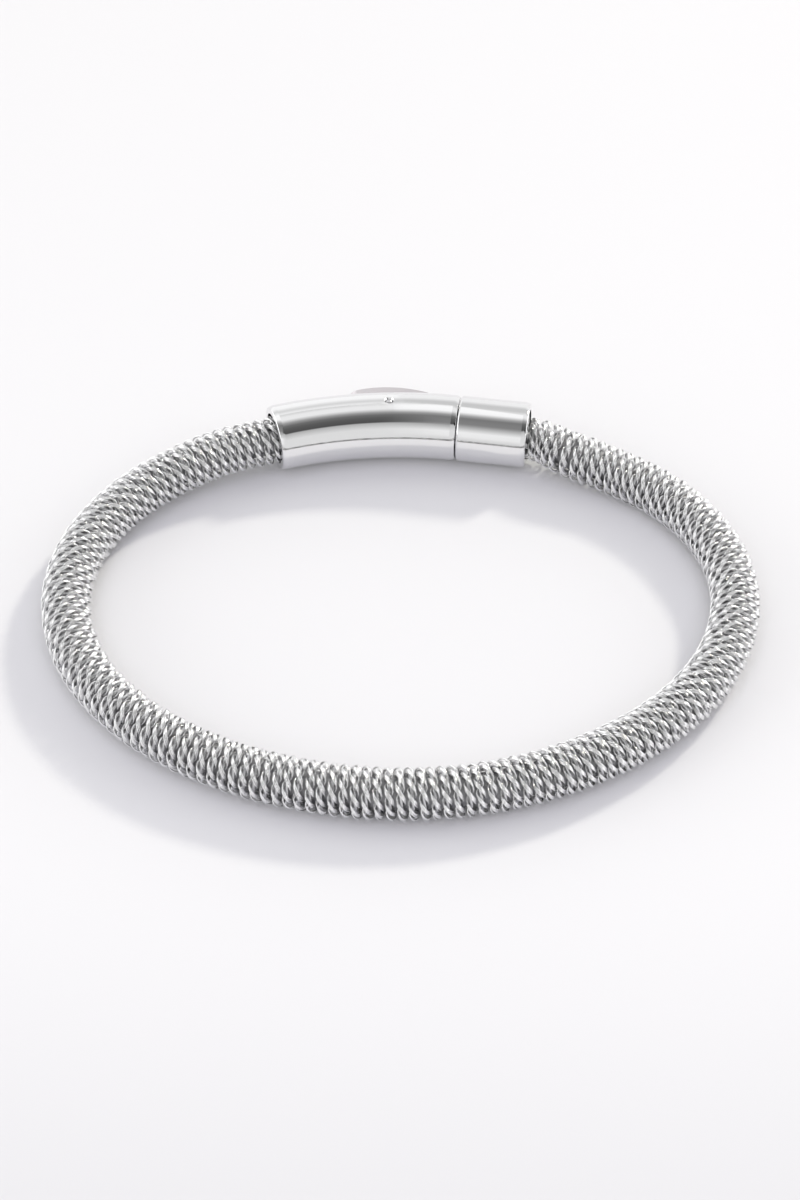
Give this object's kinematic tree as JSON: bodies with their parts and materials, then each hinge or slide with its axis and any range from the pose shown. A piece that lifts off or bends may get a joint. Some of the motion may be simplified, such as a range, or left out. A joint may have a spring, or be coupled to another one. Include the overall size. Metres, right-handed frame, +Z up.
{
  "type": "bracelet",
  "caption": "Woven metal mesh rope bracelet lying closed, with a curved tube clasp whose rocking push lever locks a tongue into the housing.",
  "frame": {"origin": "middle of the bracelet's outline, on the surface that it lies on", "axes": "+Z up out of the surface, +X along the loop's long way, +Y towards the clasp, which is at the back of the loop"},
  "size_m": [0.083, 0.0654, 0.008],
  "materials": {
    "wire_mesh": "bright woven stainless wire with dark gaps",
    "polished_steel": "mirror-polished stainless steel",
    "lever_steel": "polished stainless steel, slightly softer",
    "inner_steel": "drawn stainless steel"
  },
  "bodies": {
    "bracelet": {"mesh_rope": "wire_mesh", "clasp_housing": "polished_steel", "clasp_cap": "polished_steel", "latch_tongue": "inner_steel", "lever_pin": "inner_steel"},
    "lever": {"push_lever": "lever_steel"}
  },
  "joints": [
    {"name": "lever_pivot", "type": "hinge", "parent": "bracelet", "child": "lever", "pos_m": [-0.00146, 0.02729, 0.004], "axis": [0, 0, 1], "range_deg": [0, 6], "stiffness_Nm_per_rad": 0.02, "springref_deg": -5.73}
  ]
}
